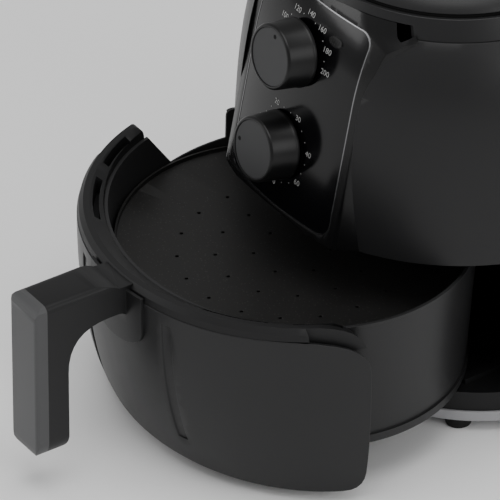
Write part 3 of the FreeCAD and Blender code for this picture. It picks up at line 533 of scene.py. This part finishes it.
def dimple_painted_shade(name, dial, turn, face_node):
    """Shallow cup at a clockwise angle on a knob's face, coloured near-black as painted shade of its hollow."""
    centre = Vector(dial["pos_m"])
    face_lift = max((vertex.co - centre).dot(outwards) for vertex in nodes[face_node].data.vertices)
    angle = math.radians(turn)
    middle = centre + outwards * (face_lift + 0.03 * MM)
    middle += Vector((1, 0, 0)) * DIMPLE_RADIUS * math.sin(angle) + up_panel * DIMPLE_RADIUS * math.cos(angle)
    form = bmesh.new()
    rings = []
    for radius, sink in ((1.15, 0.0), (1.0, 0.10), (0.8, -0.02), (0.4, -0.025)):
        ring = []
        for step in range(DIMPLE_STEPS):
            way = 2 * math.pi * step / DIMPLE_STEPS
            offset = Vector((math.cos(way), 0, 0)) + up_panel * math.sin(way)
            ring.append(form.verts.new(middle + offset * DIMPLE_R * radius + outwards * sink * MM))
        rings.append(ring)
    for outer, inner in zip(rings, rings[1:]):
        for step in range(DIMPLE_STEPS):
            after = (step + 1) % DIMPLE_STEPS
            form.faces.new((outer[step], outer[after], inner[after], inner[step]))
    form.faces.new(rings[-1])
    mesh = bpy.data.meshes.new(name)
    form.to_mesh(mesh)
    form.free()
    piece = bpy.data.objects.new(name, mesh)
    bpy.context.scene.collection.objects.link(piece)
    # The near-black finish here is painted shade, standing for the shade inside the dimple's hollow; the knob
    # itself is not this dark.
    mesh.materials.append(finish["seal_black"])
    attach(piece, body_of[face_node])
    print(name, "at", [round(value, 4) for value in middle])


dimple_painted_shade("temperature_pointer_painted_shade", high_dial, HEAT_POINTER, "temperature_knob_face")
dimple_painted_shade("timer_pointer_painted_shade", low_dial, TIME_POINTER, "timer_knob_face")

# %% [markdown]
# ## Ribs in the indicator lens
# The indicator's window is ribbed so that a small lamp behind it spreads into an even glow. Ribs repeat in a
# straight row, so Geometry Nodes lay out a line of points and put a rib on each.


# %% A tree that puts bars along a line
def bars_tree():
    tree = bpy.data.node_groups.new("bars_on_line", "GeometryNodeTree")
    wanted = (("Count", "NodeSocketInt", 5), ("Step", "NodeSocketFloat", 0.002),
              ("Length", "NodeSocketFloat", 0.005), ("Bar radius", "NodeSocketFloat", 0.0004),
              ("Material", "NodeSocketMaterial", None))
    for label, kind, value in wanted:
        socket = tree.interface.new_socket(label, in_out="INPUT", socket_type=kind)
        if value is not None:
            socket.default_value = value
    tree.interface.new_socket("Geometry", in_out="OUTPUT", socket_type="NodeSocketGeometry")
    start, end = tree.nodes.new("NodeGroupInput"), tree.nodes.new("NodeGroupOutput")
    row = tree.nodes.new("GeometryNodeMeshLine")
    offset = tree.nodes.new("ShaderNodeCombineXYZ")
    bar = tree.nodes.new("GeometryNodeMeshCylinder")
    bar.inputs["Vertices"].default_value = 12
    spread = tree.nodes.new("GeometryNodeInstanceOnPoints")
    spread.inputs["Rotation"].default_value = (math.pi / 2, 0, 0)
    real = tree.nodes.new("GeometryNodeRealizeInstances")
    paint = tree.nodes.new("GeometryNodeSetMaterial")
    links = tree.links
    for label, socket in (("Count", row.inputs["Count"]), ("Step", offset.inputs["X"]),
                          ("Length", bar.inputs["Depth"]), ("Bar radius", bar.inputs["Radius"]),
                          ("Material", paint.inputs["Material"])):
        links.new(start.outputs[label], socket)
    links.new(offset.outputs["Vector"], row.inputs["Offset"])
    links.new(row.outputs["Mesh"], spread.inputs["Points"])
    links.new(bar.outputs["Mesh"], spread.inputs["Instance"])
    links.new(spread.outputs["Instances"], real.inputs["Geometry"])
    links.new(real.outputs["Geometry"], paint.inputs["Geometry"])
    links.new(paint.outputs["Geometry"], end.inputs["Geometry"])
    return tree


LENS_MIDDLE = (0.028, 0.086)
RIB_STEP = 1.7 * MM
RIB_COUNT = 5
RIB_LENGTH = 4.0 * MM
RIB_R = 0.35 * MM
RIB_LIFT = 0.55 * MM
lens_ribs = grown("lens_ribs", bars_tree(), {"Count": RIB_COUNT, "Step": RIB_STEP, "Length": RIB_LENGTH,
                                             "Bar radius": RIB_R, "Material": finish["lens_clear"]})
for vertex in lens_ribs.data.vertices:
    across = LENS_MIDDLE[0] + vertex.co.x - RIB_STEP * (RIB_COUNT - 1) / 2
    vertex.co = on_panel(across, LENS_MIDDLE[1] + vertex.co.y, RIB_LIFT + vertex.co.z)
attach(lens_ribs, "housing")
print("lens ribs", len(lens_ribs.data.polygons), "faces")

# %% [markdown]
# ## Stage, light and camera
# The machine stands on a plain pale floor under three soft lights. The wide one above and the one from the
# right draw the broad highlights on the dark plastic, and the one from the front left lights the handle's face.

# %% Floor
floor_mesh = bpy.data.meshes.new("floor")
floor_mesh.from_pydata([(-6, -6, 0), (6, -6, 0), (6, 6, 0), (-6, 6, 0)], [], [(0, 1, 2, 3)])
floor = bpy.data.objects.new("floor", floor_mesh)
bpy.context.scene.collection.objects.link(floor)
paper = bpy.data.materials.new("pale_paper")
paper.use_nodes = True
paper.node_tree.nodes["Principled BSDF"].inputs["Base Color"].default_value = (0.97, 0.97, 0.97, 1.0)
paper.node_tree.nodes["Principled BSDF"].inputs["Roughness"].default_value = 0.9
floor_mesh.materials.append(paper)

# %% World and lights
world = bpy.data.worlds.new("studio")
bpy.context.scene.world = world
world.use_nodes = True
world.node_tree.nodes["Background"].inputs["Color"].default_value = (1.0, 1.0, 1.0, 1.0)
world.node_tree.nodes["Background"].inputs["Strength"].default_value = 0.50
TARGET = Vector((0.0, -0.0612, 0.115))


def soft_light(name, place, size, power):
    lamp = bpy.data.lights.new(name, "AREA")
    lamp.shape = "SQUARE"
    lamp.size = size
    lamp.energy = power
    light = bpy.data.objects.new(name, lamp)
    light.location = place
    light.rotation_euler = (TARGET - Vector(place)).to_track_quat("-Z", "Y").to_euler()
    bpy.context.scene.collection.objects.link(light)


soft_light("top_light", (0.3, -0.2, 2.2), 1.6, 26.0)
soft_light("right_light", (2.0, 0.4, 1.2), 1.2, 12.0)
soft_light("handle_light", (-1.2, -2.0, 0.9), 1.0, 12.0)

# %% Camera
AZIMUTH, ELEVATION, DISTANCE, LENS = 56.0, 35.0, 6.0, 694.0
az, el = math.radians(AZIMUTH), math.radians(ELEVATION)
back = Vector((math.sin(az) * math.cos(el), -math.cos(az) * math.cos(el), math.sin(el)))
view = bpy.data.cameras.new("camera")
view.lens = LENS
view.sensor_width = 36.0
view.clip_end = 50.0
camera = bpy.data.objects.new("camera", view)
camera.location = TARGET + back * DISTANCE
camera.rotation_euler = back.to_track_quat("Z", "Y").to_euler()
bpy.context.scene.collection.objects.link(camera)
bpy.context.scene.camera = camera
print("camera at", [round(value, 3) for value in camera.location])
